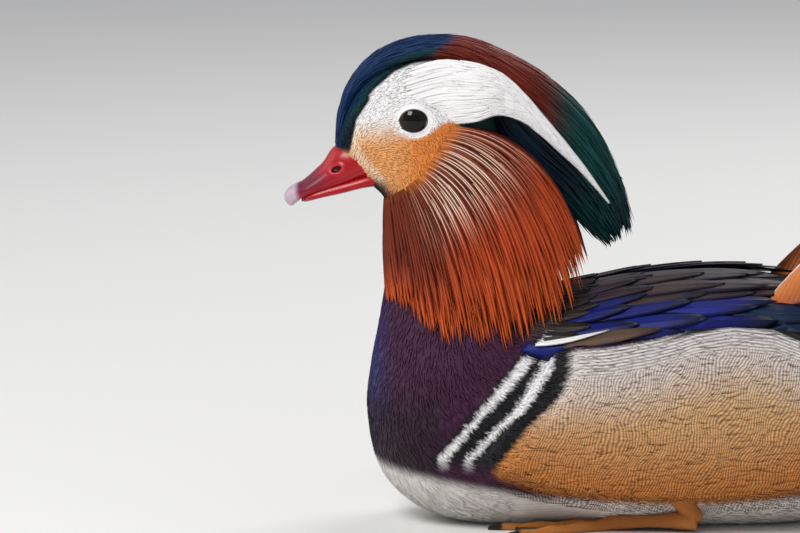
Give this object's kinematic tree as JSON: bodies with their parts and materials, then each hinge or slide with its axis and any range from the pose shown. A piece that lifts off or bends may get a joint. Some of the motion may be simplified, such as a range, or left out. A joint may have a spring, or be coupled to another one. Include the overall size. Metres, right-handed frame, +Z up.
{
  "type": "mandarin duck",
  "caption": "Life-size mandarin drake sitting on its belly, with a swept crest, a fanned ruff, barred breast, buff flanks and upright sail feathers.",
  "frame": {"origin": "middle of the belly's flat, on the surface that the bird sits on", "axes": "-X towards the bill, +X towards the tail, -Y to the bird's left, +Z up"},
  "size_m": [0.3616, 0.1158, 0.1936],
  "materials": {
    "head": "short feathers, matt, orange cheek under a blue-green crown",
    "neck": "short feathers, matt rust brown",
    "torso": "soft body feathers, dark maroon breast and white belly",
    "bill_upper": "smooth red horn, satin",
    "bill_lower": "smooth red horn, satin",
    "bill_nail": "smooth pale horn, satin",
    "eye": "dark brown, clear glossy cornea",
    "crest": "silky glossed feathers, maroon to green",
    "brow": "silky white feathers",
    "ruff": "long pointed orange hackles",
    "flank": "golden buff feathers with fine dark waves",
    "wing": "glossy dark blue feathers",
    "scapulars": "purple brown feathers with blue gloss",
    "primaries": "grey brown quills with pale edges",
    "sail": "orange feather with white and black edges",
    "tail": "dark brown quills with green gloss",
    "leg": "scaly orange skin",
    "foot": "scaly orange toes with dark webs"
  },
  "bodies": {
    "root": {"head": "head", "neck": "neck", "torso": "torso", "bill_upper": "bill_upper", "bill_lower": "bill_lower", "bill_nail": "bill_nail", "eye_left": "eye", "eye_right": "eye", "crest": "crest", "brow_left": "brow", "ruff_left": "ruff", "flank_left": "flank", "wing_left": "wing", "scapulars_left": "scapulars", "primaries_left": "primaries", "sail_left": "sail", "leg_left": "leg", "foot_left": "foot", "brow_right": "brow", "ruff_right": "ruff", "flank_right": "flank", "wing_right": "wing", "scapulars_right": "scapulars", "primaries_right": "primaries", "sail_right": "sail", "leg_right": "leg", "foot_right": "foot", "tail": "tail"}
  },
  "joints": []
}
